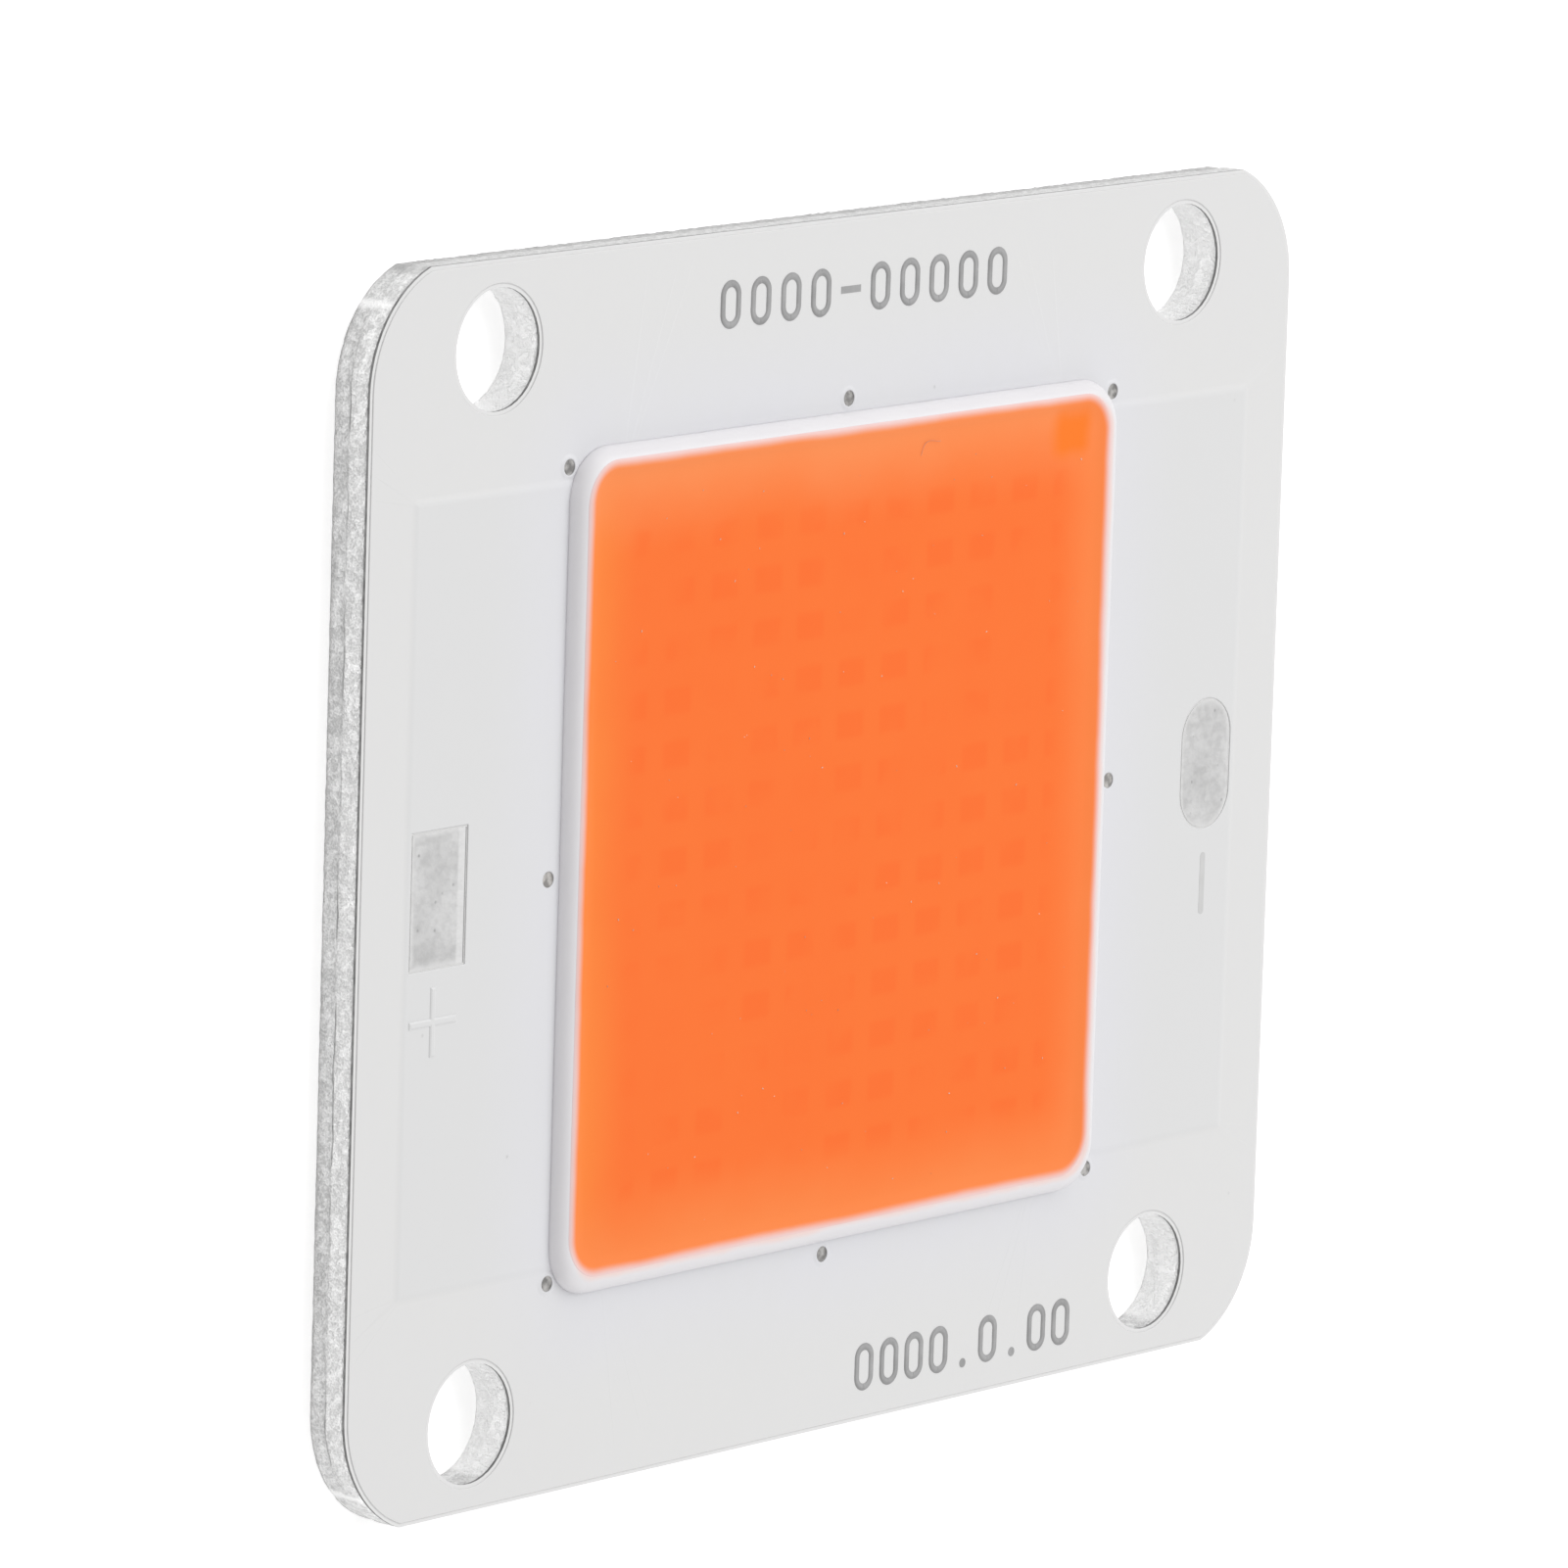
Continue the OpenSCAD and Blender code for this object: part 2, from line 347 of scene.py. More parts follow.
def makeSpeckle():
    values = {"Scale": 2000.0, "Size": 0.2, "Share": 0.1}
    tree, given, sink = newGroup("speckle", "ShaderNodeTree", "Vector", values, ["Mask"])
    inputs = {label: given[label] for label in ("Vector", "Scale")}
    cells = fields(addNode(tree, "ShaderNodeTexVoronoi", inputs))
    pick = take(tree, "ShaderNodeSeparateColor", {0: cells["Color"]})
    chosen = calc("LESS_THAN", pick, given["Share"])
    setInput(sink["Mask"], chosen * ramp(cells["Distance"], given["Size"], 0.0))
    return tree


mottleGroup, insetGroup, speckleGroup = makeMottle(), makeInset(), makeSpeckle()


def mottle(vector, scale, detail, spread):
    inputs = {"Vector": vector, "Scale": scale, "Detail": detail, "Spread": spread}
    return take(vector.tree, "ShaderNodeGroup", inputs, node_tree=mottleGroup)


def speckle(vector, scale, size, share):
    inputs = {"Vector": vector, "Scale": scale, "Size": size, "Share": share}
    return take(vector.tree, "ShaderNodeGroup", inputs, node_tree=speckleGroup)


def insetFrom(vector, halfLength, halfWidth, corner):
    inputs = {"Vector": vector, "Half Length": halfLength, "Half Width": halfWidth, "Corner": corner}
    return fields(addNode(vector.tree, "ShaderNodeGroup", inputs, node_tree=insetGroup))


def blend(masks, shares):
    return sum(masks[name] * share for name, share in shares.items())


def makeFinish(name, look, placeMasks=None):
    # The look's textures and the masks of its places mix the tones, then lay each layer over them.
    material = bpy.data.materials.new(name)
    material.use_nodes = True
    tree = material.node_tree
    shader = tree.nodes["Principled BSDF"].inputs
    for label, value in look["constants"].items():
        shader[label].default_value = value
    coords = take(tree, "ShaderNodeTexCoord", output="Object")
    masks = {}
    for texture, (effect, stretch, *values) in look["textures"].items():
        masks[texture] = effect(stretched(coords, stretch) if stretch else coords, *values)
    if placeMasks:
        masks.update(placeMasks(coords, masks, look))
    colour = mix(blend(masks, look["shares"]), *look["tones"])
    for layer, (strength, tone) in look.get("layers", {}).items():
        colour = mix(masks[layer] * strength, colour, tone)
    setInput(shader["Base Color"], colour)
    source, low, high = look["roughness"]
    setInput(shader["Roughness"], between(masks[source], low, high) if source else low)
    source, depth = look["relief"]
    bump = take(tree, "ShaderNodeBump", {"Height": masks[source], "Distance": depth})
    setInput(shader["Normal"], bump)
    return material


# Finishes of the board. Each texture has its effect, its stretch and its scale per metre, then a
# mottle's detail and spread or a speckle's size and share. The shares weigh the textures between
# the two tones, and each layer has its strength and its own tone.

sheetMetal = {
    "constants": {"Metallic": 1.0},
    "textures": {
        "lines": (mottle, (60, 1800, 60), 1.0, 5.0, 0.2), "clouds": (mottle, None, 160.0, 3.0, 0.2),
        "scratches": (speckle, (90, 1500, 90), 1.0, 0.25, 0.12)},
    "tones": (grey(0.50), grey(0.66)), "shares": {"clouds": 0.35, "lines": 0.65},
    "layers": {"scratches": (0.5, grey(0.8))},
    "roughness": ("lines", 0.30, 0.48), "relief": ("lines", 0.000003),
}

punchedRim = {
    "constants": {"Metallic": 1.0},
    "textures": {
        "blotches": (mottle, None, 900.0, 3.0, 0.2), "grain": (mottle, None, 13000.0, 3.0, 0.12),
        "crumbs": (mottle, None, 4200.0, 4.0, 0.10), "streaks": (mottle, (500, 500, 3400), 1.0, 4.0, 0.14),
        "breaks": (mottle, (1, 1, 0.2), 420.0, 3.0, 0.12)},
    "tones": (grey(0.46), grey(0.90)),
    "shares": {"blotches": 0.16, "grain": 0.34, "streaks": 0.14, "crumbs": 0.22, "upper": 0.10},
    "layers": {
        # The hole layer is painted light: it lightens the walls inside the holes.
        "foot": (0.6, grey(0.42)), "hole": (0.75, grey(0.97)), "longSide": (1.0, grey(0.34)),
        "line": (0.85, grey(0.20))},
    "roughness": ("crumbs", 0.5, 0.34), "relief": ("torn", 0.00002),
    "tornShares": {"crumbs": 1.0, "grain": 0.5},
    "lineHeight": 0.67 * mm, "lineWidth": 0.06 * mm, "lineFrom": 0.5 * mm,
    "driftScale": 900.0, "drift": 0.26 * mm, "footHeight": 0.12 * mm, "upperFade": 0.1 * mm,
    "paintedHoleLightFrom": (-0.9 * mm, -1.1 * mm), "sideFrom": (-0.35 * mm, -0.1 * mm),
    # The long-side layer is painted shade: it darkens the rim where it faces towards ±Y, more at its lower part.
    "sideShadeFade": (0.95 * mm, 0.35 * mm), "sideShadeShare": (0.46, 0.82),
}


def rimMasks(coords, masks, look):
    across, along, height = split(coords)
    middle, fade, lineFrom = look["lineHeight"], look["upperFade"], look["lineFrom"]
    fromLong, fromShort = abs(across) - boardHigh.x, abs(along) - boardHigh.y
    fromRim = calc("MAXIMUM", fromLong, fromShort)
    # Painted shade on the rim's faces towards ±Y, stronger low down.
    sideShadeShare = ramp(height, *look["sideShadeFade"], *look["sideShadeShare"])
    # A broken dark line wanders along the rim where the burnished band ends.
    noiseInputs = {"Vector": coords, "Scale": look["driftScale"], "Detail": 3.0}
    drift = take(coords.tree, "ShaderNodeTexNoise", noiseInputs) * look["drift"]
    away = abs(height - (drift + (middle - look["drift"] / 2)))
    line = ramp(away, look["lineWidth"], 0.0) * ramp(fromRim, -lineFrom, -lineFrom / 2)
    return {
        "upper": ramp(height, middle - fade, middle + fade), "foot": ramp(height, look["footHeight"], 0.0),
        # Painted light on the walls inside the holes.
        "hole": ramp(fromRim, *look["paintedHoleLightFrom"]), "longSide": ramp(fromShort, *look["sideFrom"]) * sideShadeShare,
        "line": line * masks["breaks"], "torn": blend(masks, look["tornShares"]),
    }


# The laminate's dark wall tones are partly its own colour and partly painted shade along the board's edge; the top
# band is pale.
laminateEdge = {
    "constants": {"Specular IOR Level": 0.3}, "textures": {"fibres": (mottle, None, 2600.0, 4.0, 0.2)},
    "tones": (grey(0.16), grey(0.32)), "shares": {"fibres": 1.0}, "layers": {"top": (1.0, grey(0.76))},
    "roughness": ("fibres", 0.45, 0.7), "relief": ("fibres", 0.000004), "topBand": 0.012 * mm,
}


def laminateMasks(coords, masks, look):
    height, band = split(coords)[2], look["topBand"]
    return {"top": ramp(height, laminateHigh.z - band, laminateHigh.z - band / 4)}


whiteMask = {
    "constants": {"Specular IOR Level": 0.45},
    "textures": {
        "patches": (mottle, None, 220.0, 2.0, 0.3), "peel": (mottle, None, 900.0, 4.0, 0.3),
        "grit": (speckle, None, 700.0, 0.07, 0.12)},
    "tones": ((0.735, 0.735, 0.735, 1), (0.715, 0.718, 0.722, 1)), "shares": {"overCopper": 1.0},
    "layers": {
        "glow": (1.0, (0.732, 0.734, 0.768, 1)), "peel": (0.25, grey(0.70)), "grit": (0.45, grey(0.42))},
    "roughness": ("peel", 0.34, 0.46), "relief": ("peel", 0.0000025),
    "glowReach": 4.2 * mm, "glowCorner": 1.7 * mm, "glowSpan": (0.7, 1.0), "stepBand": 0.005 * mm,
}


def whiteMasks(coords, masks, look):
    height, band = split(coords)[2], look["stepBand"]
    fromDam = insetFrom(coords, damHigh.x, damHigh.y, look["glowCorner"])["Inset"]
    glow = ramp(fromDam, -look["glowReach"], 0.0) * between(masks["patches"], *look["glowSpan"])
    return {"overCopper": ramp(height, sheetHeight + band, faceHeight - band), "glow": glow}


def padTin(node, cloudScale, speckShare, corner, stepLightAndShade):
    return {
        "constants": {"Metallic": 0.35, "Specular IOR Level": 0.4},
        "textures": {
            "clouds": (mottle, None, cloudScale, 4.0, 0.2), "grain": (mottle, None, 4200.0, 2.0, 0.25),
            "specks": (speckle, None, 3600.0, 0.32, speckShare)},
        "tones": (grey(0.52), grey(0.68)), "shares": {"clouds": 0.6, "grain": 0.4},
        "layers": {
            # The two right-edge layers paint light and shade where the mask steps up beside the pad: a highlight
            # band, then a shadow line along the edge.
            "specks": (0.7, grey(0.22)), "border": (0.8, grey(0.74)), "aside": (stepLightAndShade, grey(0.74)),
            "line": (stepLightAndShade, grey(0.25))},
        "roughness": ("grain", 0.4, 0.62), "relief": ("grain", 0.000006),
        "node": node, "corner": corner, "softEdge": 0.26 * mm, "edgeDrift": 0.1 * mm,
        "stepHighlightFrom": (0.42 * mm, 0.30 * mm), "lineFrom": (0.06 * mm, 0.03 * mm),
    }


def tinMasks(coords, masks, look):
    low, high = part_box(look["node"])
    middle, half = (low + high) / 2, (high - low) / 2
    inset = insetFrom(centredOn(coords, middle.x, middle.y), half.x, half.y, look["corner"])
    edge = masks["clouds"] * look["edgeDrift"] + inset["Inset"]
    return {
        # Painted highlight band and painted shadow line along the pad's right edge.
        "border": ramp(edge, look["softEdge"], 0.0), "aside": ramp(inset["From Right"], *look["stepHighlightFrom"]),
        "line": ramp(inset["From Right"], *look["lineFrom"])}


def inkAndShadeLook(tone, spread, pinholeShare):
    dark, light = [(*(part * scale for part in tone), 1) for scale in (1 - spread, 1 + spread)]
    return {
        "constants": {"Specular IOR Level": 0.35},
        "textures": {
            "patches": (mottle, None, 1500.0, 3.0, 0.25), "pinholes": (speckle, None, 5200.0, 0.3, 0.1)},
        "tones": (dark, light), "shares": {"patches": 1.0},
        "layers": {"pinholes": (pinholeShare, grey(0.6))},
        "roughness": ("patches", 0.5, 0.65), "relief": ("patches", 0.000003),
    }


etchedMark = {
    "constants": {"Metallic": 0.3, "Specular IOR Level": 0.3},
    "textures": {"pits": (mottle, None, 3800.0, 4.0, 0.16)}, "shares": {"pits": 1.0},
    "tones": ((0.22, 0.215, 0.21, 1), (0.50, 0.49, 0.48, 1)),
    "roughness": (None, 0.6, 0.6), "relief": ("pits", 0.00001),
}
# Dull brown in the two side marks, pale in the narrow gap round the pads.
coatedCopper = dict(
    etchedMark, constants={"Metallic": 0.1, "Specular IOR Level": 0.3},
    tones=((0.26, 0.25, 0.24, 1), (0.54, 0.52, 0.50, 1)), layers={"gap": (1.0, (0.74, 0.74, 0.735, 1))},
    roughness=(None, 0.5, 0.5), relief=("pits", 0.000003), gapFrom=(15.5 * mm, 16.5 * mm))


def copperMasks(coords, masks, look):
    return {"gap": ramp(abs(split(coords)[0]), *look["gapFrom"])}


# Finishes of the dam, the fill and what lies inside.

damSilicone = {
    "constants": {"Specular IOR Level": 0.45}, "textures": {"clouds": (mottle, None, 650.0, 3.0, 0.25)},
    "tones": ((0.79, 0.775, 0.80, 1), (0.82, 0.81, 0.82, 1)), "shares": {"clouds": 0.3},
    "layers": {"blush": (1.0, (0.86, 0.66, 0.62, 1))},
    "roughness": ("clouds", 0.30, 0.42), "relief": ("clouds", 0.000006),
    "blushReach": (-0.26 * mm, 0.02 * mm), "blushDrift": 0.10 * mm, "blushCorner": 1.0 * mm,
}


def damMasks(coords, masks, look):
    fromCrest = insetFrom(coords, fillHigh.x, fillHigh.y, look["blushCorner"])["Inset"]
    return {"blush": ramp(masks["clouds"] * look["blushDrift"] + fromCrest, *look["blushReach"])}


pourRim = {"middle": (-0.13 * mm, 0.12 * mm), "half": (13.11 * mm, 13.185 * mm), "corner": 1.40 * mm}
phosphor = {
    "constants": {"Specular IOR Level": 0.15},
    "textures": {
        "clouds": (mottle, None, 240.0, 3.0, 0.25), "chipClouds": (mottle, None, 330.0, 3.0, 0.12),
        "grain": (mottle, None, 1700.0, 3.0, 0.3)},
    "tones": ((0.945, 0.172, 0.028, 1), (0.945, 0.240, 0.042, 1)), "shares": {"clouds": 0.12},
    "layers": {
        "From Left": (0.95, (0.945, 0.240, 0.042, 1)), "From Bottom": (1.0, (0.945, 0.245, 0.060, 1)),
        "From Top": (1.0, (0.94, 0.275, 0.085, 1)), "From Right": (0.9, (0.945, 0.240, 0.060, 1)),
        "chips": (0.65, (0.94, 0.150, 0.022, 1)), "stain": (0.95, (0.945, 0.197, 0.012, 1)),
        "lip": (0.97, (0.84, 0.66, 0.66, 1))},
    "roughness": ("grain", 0.34, 0.46), "relief": ("grain", 0.0000025),
    "sideReach": {
        "From Left": 3.1 * mm, "From Bottom": 3.565 * mm, "From Top": 3.7 * mm, "From Right": 3.1 * mm},
    "sideFrom": 0.3 * mm, "sideDrift": 0.6 * mm, "lipFade": (0.40 * mm, 0.02 * mm), "lipDrift": 0.08 * mm,
    "chips": ((2.15 * mm, 0.62 * mm), (1.74 * mm, 0.40 * mm)),  # pitch and half size, along X and Y
    "chipBlur": (0.18 * mm, 0.12 * mm), "chipFrom": (2.0 * mm, 3.0 * mm), "chipSpan": (0.15, 0.9),
    "stainPlace": (11.0 * mm, 11.95 * mm), "stainShape": (0.95 * mm, 0.8 * mm, 0.5 * mm),
    "stainDrift": 0.5 * mm, "stainEdge": (-0.1 * mm, 0.7 * mm),
}


def phosphorMasks(coords, masks, look):
    clouds = masks["clouds"]
    inset = insetFrom(centredOn(coords, *pourRim["middle"]), *pourRim["half"], pourRim["corner"])
    places = {}
    for side, reach in look["sideReach"].items():
        places[side] = ramp(clouds * look["sideDrift"] + inset[side], reach, look["sideFrom"])
    # The chips show faintly from below, in patches and away from the edge.
    chips = ramp(inset["Inset"], *look["chipFrom"]) * between(masks["chipClouds"], *look["chipSpan"])
    outside, inside = look["chipBlur"]
    for axis, (pitch, half) in zip(split(coords), look["chips"]):
        cell = calc("PINGPONG", axis + (1000 * pitch + pitch / 2), pitch / 2)
        chips = chips * ramp(cell, pitch / 2 - half - outside, pitch / 2 - half + inside)
    spot = insetFrom(centredOn(coords, *look["stainPlace"]), *look["stainShape"])["Inset"]
    places["chips"] = chips
    places["stain"] = ramp(clouds * look["stainDrift"] + spot, *look["stainEdge"])
    places["lip"] = ramp(clouds * look["lipDrift"] + inset["Inset"], *look["lipFade"])
    return places


def innerSkin(light, dark, metallic, scale, low, high):
    return {
        "constants": {"Metallic": metallic}, "textures": {"grain": (mottle, None, scale, 3.0, 0.2)},
        "tones": (dark, light), "shares": {"grain": 1.0},
        "roughness": ("grain", low, high), "relief": ("grain", 0.000002),
    }


rimMetal = makeFinish("punchedAluminium", punchedRim, rimMasks)
backMetal = makeFinish("rolledAluminium", sheetMetal)
maskWhite = makeFinish("whiteSolderMask", whiteMask, whiteMasks)
damWhite = makeFinish("damSilicone", damSilicone, damMasks)
orangeFill = makeFinish("phosphorSilicone", phosphor, phosphorMasks)
legendInk = makeFinish("legendInk", inkAndShadeLook((0.35, 0.35, 0.353), 0.11, 0.35))
# The minus's grey is painted shade that stands for a shallow dip in the mask.
minusShadeGrey = makeFinish("minusShadeGrey", inkAndShadeLook((0.60, 0.60, 0.60), 0.03, 0.0))
copperSkin = makeFinish("coatedCopper", coatedCopper, copperMasks)
dustSkin = makeFinish("dust", innerSkin((0.88, 0.66, 0.52, 1), (0.50, 0.22, 0.14, 1), 0.0, 900.0, 0.5, 0.7))
rawTin = padTin("positive_pad_tin", 900.0, 0.2, 0.02 * mm, 0.9)
smoothTin = padTin("negative_pad_tin", 500.0, 0.05, 1.2 * mm, 0.15)
adhesive = innerSkin((0.75, 0.75, 0.72, 1), (0.6, 0.6, 0.58, 1), 0.2, 2500.0, 0.4, 0.6)
sapphire = innerSkin((0.42, 0.55, 0.75, 1), (0.30, 0.42, 0.62, 1), 0.1, 2600.0, 0.1, 0.2)
gold = innerSkin((1.0, 0.77, 0.34, 1), (0.85, 0.6, 0.24, 1), 1.0, 9000.0, 0.2, 0.3)
nodeFinishes = {
    "base_plate": backMetal,
    "insulating_laminate": makeFinish("laminateFinish", laminateEdge, laminateMasks),
    "positive_bus": copperSkin, "negative_bus": copperSkin,
    "alignment_marks": makeFinish("etchedMark", etchedMark),
    "positive_pad_tin": makeFinish("rawTin", rawTin, tinMasks),
    "negative_pad_tin": makeFinish("smoothTin", smoothTin, tinMasks),
    "solder_mask": maskWhite, "dam": damWhite, "phosphor_fill": orangeFill,
    "die_attach": makeFinish("dieAdhesive", adhesive), "chip_row": makeFinish("sapphireChip", sapphire),
    "bond_wires": makeFinish("goldWire", gold),
}
for name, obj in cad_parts.items():
    kind = name.rstrip("_0123456789")
    obj.data.materials.clear()
    obj.data.materials.append(nodeFinishes[kind])
print("finishes are on the", len(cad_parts), "nodes")


# Loops and distances in plan, in metres.

quarters = ((1, 1), (-1, 1), (-1, -1), (1, -1))


def circleLoop(centre, radius, count):
    turns = [2 * math.pi * i / count for i in range(count)]
    return [(centre[0] + radius * math.cos(turn), centre[1] + radius * math.sin(turn)) for turn in turns]


def roundedLoop(centre, halfLength, halfWidth, corner, step, cornerCount=10):
    points = []
    for quarter, (signX, signY) in enumerate(quarters):
        middleX = centre[0] + signX * (halfLength - corner)
        middleY = centre[1] + signY * (halfWidth - corner)
        for i in range(cornerCount + 1):
            turn = math.pi / 2 * (quarter + i / cornerCount)
            points.append((middleX + corner * math.cos(turn), middleY + corner * math.sin(turn)))
    return spacedLoop(points, step)


def spacedLoop(points, step):
    spaced = []
    for i, here in enumerate(points):
        there = points[(i + 1) % len(points)]
        gap = math.dist(here, there)
        if gap < 1e-9:
            continue
        count = max(1, round(gap / step))
        for k in range(count):
            share = k / count
            spaced.append(tuple(a + (b - a) * share for a, b in zip(here, there)))
    return spaced


def roundedDistance(x, y, halfLength, halfWidth, corner):
    overX, overY = abs(x) - halfLength + corner, abs(y) - halfWidth + corner
    outside = math.hypot(max(overX, 0), max(overY, 0))
    return outside + min(max(overX, overY), 0) - corner


board = {
    "cornerRadius": 4.1 * mm, "cornerOver": 0.25 * mm, "cornerCount": 26, "maskEdge": 0.12 * mm,
    "holeRadius": 1.96 * mm, "holeAt": (17.1 * mm, 17.15 * mm),
}
holes = [(sx * board["holeAt"][0], sy * board["holeAt"][1]) for sx in (-1, 1) for sy in (-1, 1)]


def boardDistance(x, y):
    # The corner arcs belong to a slightly wider board, so they meet its long sides at an angle.
    wider = boardHigh.y + board["cornerOver"]
    arcs = roundedDistance(x, y, boardHigh.x, wider, board["cornerRadius"])
    return max(arcs, abs(y) - boardHigh.y)


def boardLoop(inset, step):
    corner, count = board["cornerRadius"] - inset, board["cornerCount"]
    middleX = boardHigh.x - inset - corner
    middleY = boardHigh.y - inset + board["cornerOver"] - corner
    reach = math.asin((boardHigh.y - inset - middleY) / corner)
    points = []
    for quarter, (signX, signY) in enumerate(quarters):
        arc = [reach * i / count for i in range(count + 1)]
        if quarter in (1, 3):
            arc.reverse()
        for turn in arc:
            x, y = middleX + corner * math.cos(turn), middleY + corner * math.sin(turn)
            points.append((signX * x, signY * y))
    return spacedLoop(points, step)


def liesInside(x, y, loop):
    inside = False
    for i, (ax, ay) in enumerate(loop):
        bx, by = loop[i - 1]
        if (ay > y) != (by > y) and x < ax + (bx - ax) * (y - ay) / (by - ay):
            inside = not inside
    return inside


def fillBetween(loops, keep):
    # Triangles between closed loops, the places of their corners, and each corner's first point.
    points, edges = [], []
    for loop in loops:
        first = len(points)
        points += [Vector((x / mm, y / mm)) for x, y in loop]
        edges += [(first + i, first + (i + 1) % len(loop)) for i in range(len(loop))]
    filled = geometry.delaunay_2d_cdt(points, edges, [], 0, 1e-6, True)
    places = [(place.x * mm, place.y * mm) for place in filled[0]]
    kept = []
    for corners in filled[2]:
        middle = [sum(places[corner][axis] for corner in corners) / 3 for axis in (0, 1)]
        if keep(*middle):
            kept.append(list(corners))
    return kept, places, [origin[0] if origin else None for origin in filled[3]]


# The aluminium core, with its punched rim and holes. Heights are in millimetres.

punchedCore = {
    "step": 0.13 * mm, "holeCount": 96,
    "heights": (
        0, 0.03, 0.09, 0.18, 0.3, 0.42, 0.54, 0.62, 0.67, 0.72, 0.79, 0.9, 1.02, 1.14, 1.26, 1.33, 1.37, 1.4),
    "fractureInset": 0.04 * mm, "fractureTop": 0.66, "fractureFade": 0.08, "fractureDrift": 0.09,
    "fractureTorn": 0.035 * mm, "burnishedDent": 0.012 * mm,
    "rollOver": 0.05 * mm, "rollStart": 1.26, "footNick": 0.03 * mm, "footHeight": 0.12,
    "innerBand": 0.2 * mm,
    "tornScale": (1.9, 1.9, 3.1), "fineScale": 5.3, "fineShift": (7, 3, 1), "fineShare": 0.6,
    "driftScale": 0.9, "driftLevel": 5, "nickScale": 2.7,
}


def rimInset(settings, x, y, height):
    # How far the torn and dented rim lies inside the board's true outline.
    place = Vector((x, y, height * mm)) / mm
    torn = abs(noise.noise(place * Vector(settings["tornScale"])))
    fine = abs(noise.noise(place * settings["fineScale"] + Vector(settings["fineShift"])))
    rollHeight = boardHigh.z / mm - settings["rollStart"]
    roll = max(0.0, (height - settings["rollStart"]) / rollHeight)
    drift = noise.noise(Vector((*(place.xy * settings["driftScale"]), settings["driftLevel"])))
    edge = settings["fractureTop"] + settings["fractureDrift"] * drift
    share = min(1.0, max(0.0, (edge - height) / settings["fractureFade"]))
    inset = settings["rollOver"] * roll * roll
    inset += share * (settings["fractureInset"] + settings["fractureTorn"] * (torn + settings["fineShare"] * fine))
    inset += (1 - share) * settings["burnishedDent"] * (torn + fine)
    foot = max(0.0, 1 - height / settings["footHeight"])
    return inset + foot * settings["footNick"] * abs(noise.noise(place * settings["nickScale"]))


def makeCore(settings):
    vertices, faces, caps, rings = [], [], [], []
    heights = settings["heights"]
    walls = [(boardLoop(0, settings["step"]), None)]
    walls += [(circleLoop(hole, board["holeRadius"], settings["holeCount"]), hole) for hole in holes]
    for loop, centre in walls:
        count, first = len(loop), len(vertices)
        for height in heights:
            for i, (x, y) in enumerate(loop):
                if centre:
                    away = Vector((x - centre[0], y - centre[1])).normalized()
                else:
                    before, after = loop[i - 1], loop[(i + 1) % count]
                    away = -Vector((after[1] - before[1], before[0] - after[0])).normalized()
                inset = rimInset(settings, x, y, height)
                vertices.append((x + away.x * inset, y + away.y * inset, height * mm))
        faces += ringFaces(first, count, len(heights))
        rings.append((first, count))
    wallCount = len(faces)

    for row in (0, len(heights) - 1):
        starts = [(first + row * count, count) for first, count in rings]
        numbers = [start + i for start, count in starts for i in range(count)]
        loops = [[vertex[:2] for vertex in vertices[start:start + count]] for start, count in starts]

        def solid(x, y):
            within = boardDistance(x, y) < -settings["innerBand"] or liesInside(x, y, loops[0])
            return within and not any(liesInside(x, y, loop) for loop in loops[1:])

        triangles, _, origins = fillBetween(loops, solid)
        caps += [[numbers[origins[corner]] for corner in corners] for corners in triangles]
    core = meshPiece("punchedCore", vertices, faces + caps)
    core.data.materials.append(rimMetal)
    core.data.materials.append(backMetal)
    for face in core.data.polygons:
        face.material_index = 0 if face.index < wallCount else 1
        face.use_smooth = face.index < wallCount
    facesOut(core)
    return core


core = makeCore(punchedCore)
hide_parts("base_plate")
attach(core, "root")
print("punched core:", len(core.data.polygons), "faces")


# The white mask, which sags softly over the edges of the copper.

maskCoat = {
    "thickness": 0.029 * mm, "slump": 0.009 * mm, "slumpWidth": 0.035 * mm,
    "stepWidths": (-0.16 * mm, -0.08 * mm, 0.0, 0.08 * mm, 0.16 * mm), "stepHalf": 0.16 * mm,
    "busCorner": 0.05 * mm, "busLoopCorner": 0.2 * mm,
    "window": (12.0 * mm, 10.9 * mm, 0.6 * mm), "padGap": 0.06 * mm, "padCorner": 0.02 * mm,
    "padCornerGrowth": 0.03 * mm, "roundPadFlat": 0.01 * mm,
    "markRadius": 0.26 * mm, "markCopper": 0.32 * mm, "cornerMark": (13.62 * mm, 13.12 * mm),
    "sideMark": 14.1 * mm, "edgeStep": 0.8 * mm, "windowStep": 1 * mm, "padStep": 0.5 * mm, "busStep": 0.6 * mm,
    "holeCount": 72, "markCount": 28,
}


def planShape(node, gap=0.0):
    low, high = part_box(node)
    return (low.x + high.x) / 2, (high.x - low.x) / 2 + gap, (high.y - low.y) / 2 + gap


def smoothShare(value):
    value = min(1.0, max(0.0, value))
    return value * value * (3 - 2 * value)


